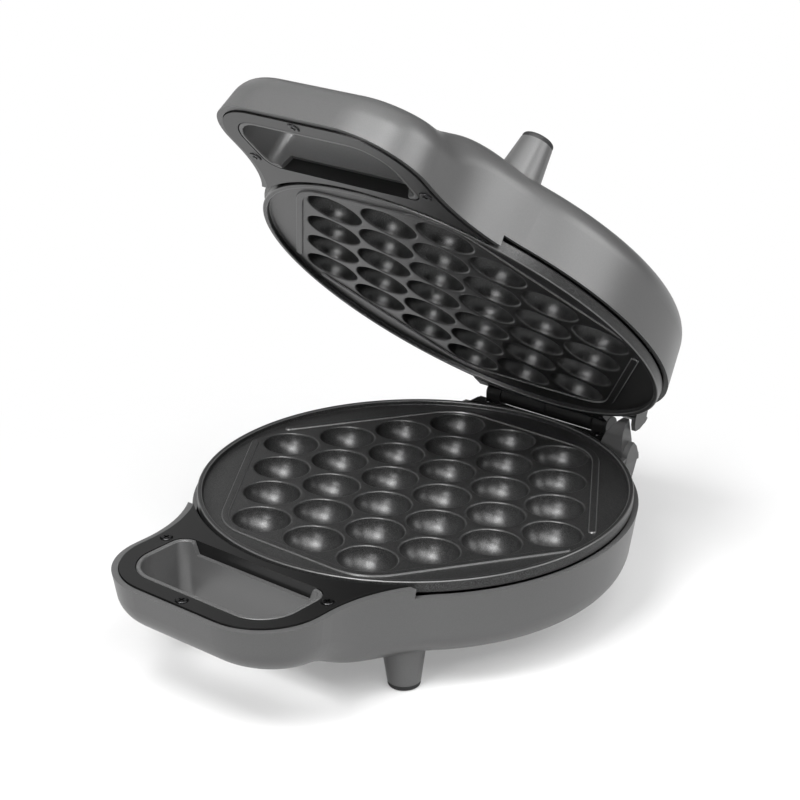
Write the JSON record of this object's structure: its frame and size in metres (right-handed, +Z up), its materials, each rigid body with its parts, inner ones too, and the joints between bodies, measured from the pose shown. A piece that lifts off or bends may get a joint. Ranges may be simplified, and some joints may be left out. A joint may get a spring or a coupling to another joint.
{
  "type": "bubble waffle maker",
  "caption": "Round hinged bubble waffle maker, lid open: two dimpled cast plates in satin grey shells with black bezels, looped front handles and tapered feet.",
  "frame": {"origin": "middle of the whole footprint with the lid open, on the plane the rubber feet stand on", "axes": "+X to the appliance's right, +Y to the back where the hinge is, +Z up; metres, lid open 45 degrees at rest"},
  "size_m": [0.21, 0.2876, 0.2605],
  "materials": {
    "shell_grey": "satin metallic grey paint on moulded plastic",
    "black_plastic": "fine-grained black moulding",
    "nonstick": "die-cast aluminium with charcoal non-stick coating",
    "element_steel": "heat-dulled stainless sheath",
    "shield_aluminium": "plain aluminised sheet",
    "steatite": "unglazed ceramic",
    "screw_steel": "plated steel",
    "foot_rubber": "soft black rubber",
    "white_plastic": "off-white moulding"
  },
  "bodies": {
    "base": {"base_shell": "shell_grey", "base_bezel": "black_plastic", "lower_plate": "nonstick", "base_heating_element": "element_steel", "base_heat_shield": "shield_aluminium", "base_spacers": "steatite", "base_plate_bolts": "screw_steel", "base_foot_pads": "foot_rubber", "base_bezel_screws": "screw_steel", "base_hinge_bracket": "black_plastic", "base_hinge_screws": "screw_steel", "hinge_pin": "screw_steel", "cord_bush": "foot_rubber", "terminal_block": "white_plastic", "thermostat": "element_steel"},
    "lid": {"lid_shell": "shell_grey", "lid_bezel": "black_plastic", "upper_plate": "nonstick", "lid_heating_element": "element_steel", "lid_heat_shield": "shield_aluminium", "lid_spacers": "steatite", "lid_plate_bolts": "screw_steel", "lid_foot_pads": "foot_rubber", "lid_bezel_screws": "screw_steel", "lid_hinge_leaf": "black_plastic", "lid_hinge_screws": "screw_steel"}
  },
  "joints": [
    {"name": "lid_hinge", "type": "hinge", "parent": "base", "child": "lid", "pos_m": [0, 0.1238, 0.0616], "axis": [-1, 0, 0], "range_deg": [-45, 60]}
  ]
}
